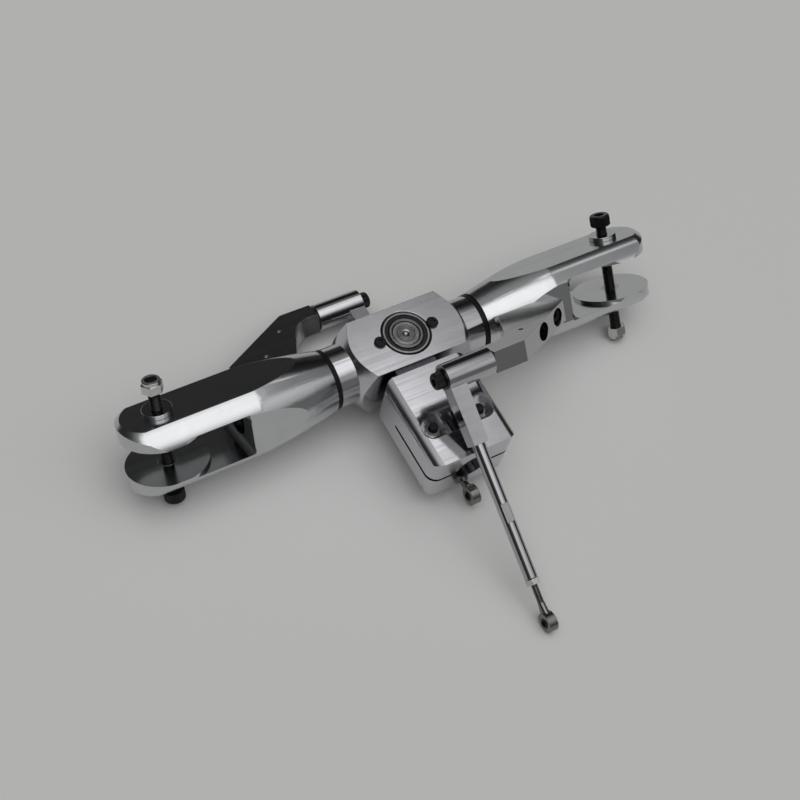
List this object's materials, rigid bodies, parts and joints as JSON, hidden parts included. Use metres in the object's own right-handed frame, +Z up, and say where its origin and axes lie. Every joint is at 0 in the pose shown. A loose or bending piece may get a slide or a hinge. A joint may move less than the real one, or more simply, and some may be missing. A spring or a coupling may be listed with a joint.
{
  "type": "helicopter rotor hub",
  "caption": "Teetering helicopter rotor head: machined hub on a clamp yoke, forked blade grips on feathering spindles, pitch arms and ball-ended pitch links.",
  "frame": {"origin": "centre of the mouth of the mast bore in the yoke", "axes": "+X along the blades towards the right grip, +Z up from the bench it lies on, +Y away from the mast; the mast leaves along -Y, dipping four degrees"},
  "size_m": [0.2574, 0.1821, 0.0633],
  "materials": {
    "alloy_satin": "satin machined",
    "alloy_turned": "bright turned",
    "alloy_milled": "milled",
    "alloy_link": "turned",
    "black_steel": "black oxide",
    "zinc_nut": "zinc plated",
    "bearing_steel": "polished",
    "ground_steel": "ground",
    "damper_rubber": "matt"
  },
  "bodies": {
    "yoke": {"yoke": "alloy_satin", "clamp_bolts": "black_steel", "clamp_nuts": "zinc_nut", "teeter_pin": "ground_steel", "teeter_spacers": "bearing_steel", "teeter_inner_rings": "bearing_steel"},
    "hub": {"hub_block": "alloy_satin", "teeter_outer_rings": "bearing_steel", "teeter_balls": "bearing_steel", "teeter_shields": "bearing_steel", "bearing_screws": "black_steel", "spindle_left": "ground_steel", "spindle_right": "ground_steel", "dampers": "damper_rubber", "feather_inner_rings": "bearing_steel", "spindle_thrust_rings": "bearing_steel", "spindle_washers": "zinc_nut", "spindle_bolts": "black_steel"},
    "grip_left": {"grip_left": "alloy_turned", "feather_outer_rings_left": "bearing_steel", "feather_balls_left": "bearing_steel", "grip_thrust_ring_left": "bearing_steel", "thrust_balls_left": "bearing_steel", "blade_bushes_left": "alloy_link", "blade_bolt_left": "black_steel", "blade_nut_left": "zinc_nut", "pitch_arm_left": "alloy_milled", "arm_screws_left": "black_steel", "pivot_screw_left": "black_steel"},
    "link_left": {"link_head_left": "alloy_link", "link_bearings_left": "bearing_steel", "link_rod_left": "alloy_link", "jam_nut_left": "zinc_nut", "rod_end_left": "ground_steel"},
    "ball_left": {"rod_ball_left": "black_steel"},
    "grip_right": {"grip_right": "alloy_turned", "feather_outer_rings_right": "bearing_steel", "feather_balls_right": "bearing_steel", "grip_thrust_ring_right": "bearing_steel", "thrust_balls_right": "bearing_steel", "blade_bushes_right": "alloy_link", "blade_bolt_right": "black_steel", "blade_nut_right": "zinc_nut", "pitch_arm_right": "alloy_milled", "arm_screws_right": "black_steel", "pivot_screw_right": "black_steel"},
    "link_right": {"link_head_right": "alloy_link", "link_bearings_right": "bearing_steel", "link_rod_right": "alloy_link", "jam_nut_right": "zinc_nut", "rod_end_right": "ground_steel"},
    "ball_right": {"rod_ball_right": "black_steel"}
  },
  "joints": [
    {"name": "teeter", "type": "hinge", "parent": "yoke", "child": "hub", "pos_m": [0, 0.06125, 0.00428], "axis": [0, -0.0698, 0.9976], "range_deg": [-4, 4]},
    {"name": "feather_left", "type": "hinge", "parent": "hub", "child": "grip_left", "pos_m": [0, 0.06125, 0.00428], "axis": [1, 0, 0], "range_deg": [-70, 0]},
    {"name": "link_swing_left", "type": "hinge", "parent": "grip_left", "child": "link_left", "pos_m": [0, 0.10319, -0.01286], "axis": [1, 0, 0], "range_deg": [0, 73]},
    {"name": "ball_turn_left", "type": "hinge", "parent": "link_left", "child": "ball_left", "pos_m": [0.0008, -0.00453, -0.01705], "axis": [0, -0.9992, -0.0388], "range_deg": [-12, 12]},
    {"name": "feather_right", "type": "hinge", "parent": "hub", "child": "grip_right", "pos_m": [0, 0.06125, 0.00428], "axis": [1, 0, 0], "range_deg": [-55, 2]},
    {"name": "link_swing_right", "type": "hinge", "parent": "grip_right", "child": "link_right", "pos_m": [0, 0.02592, 0.03265], "axis": [1, 0, 0], "range_deg": [-2, 31]},
    {"name": "ball_turn_right", "type": "hinge", "parent": "link_right", "child": "ball_right", "pos_m": [-0.0008, -0.06836, -0.01961], "axis": [0, -0.8746, -0.4848], "range_deg": [-12, 12]}
  ],
  "couplings": [
    {"joint": "link_swing_left", "follows": "feather_left", "ratio": -1.03},
    {"joint": "link_swing_right", "follows": "feather_right", "ratio": -0.55}
  ]
}
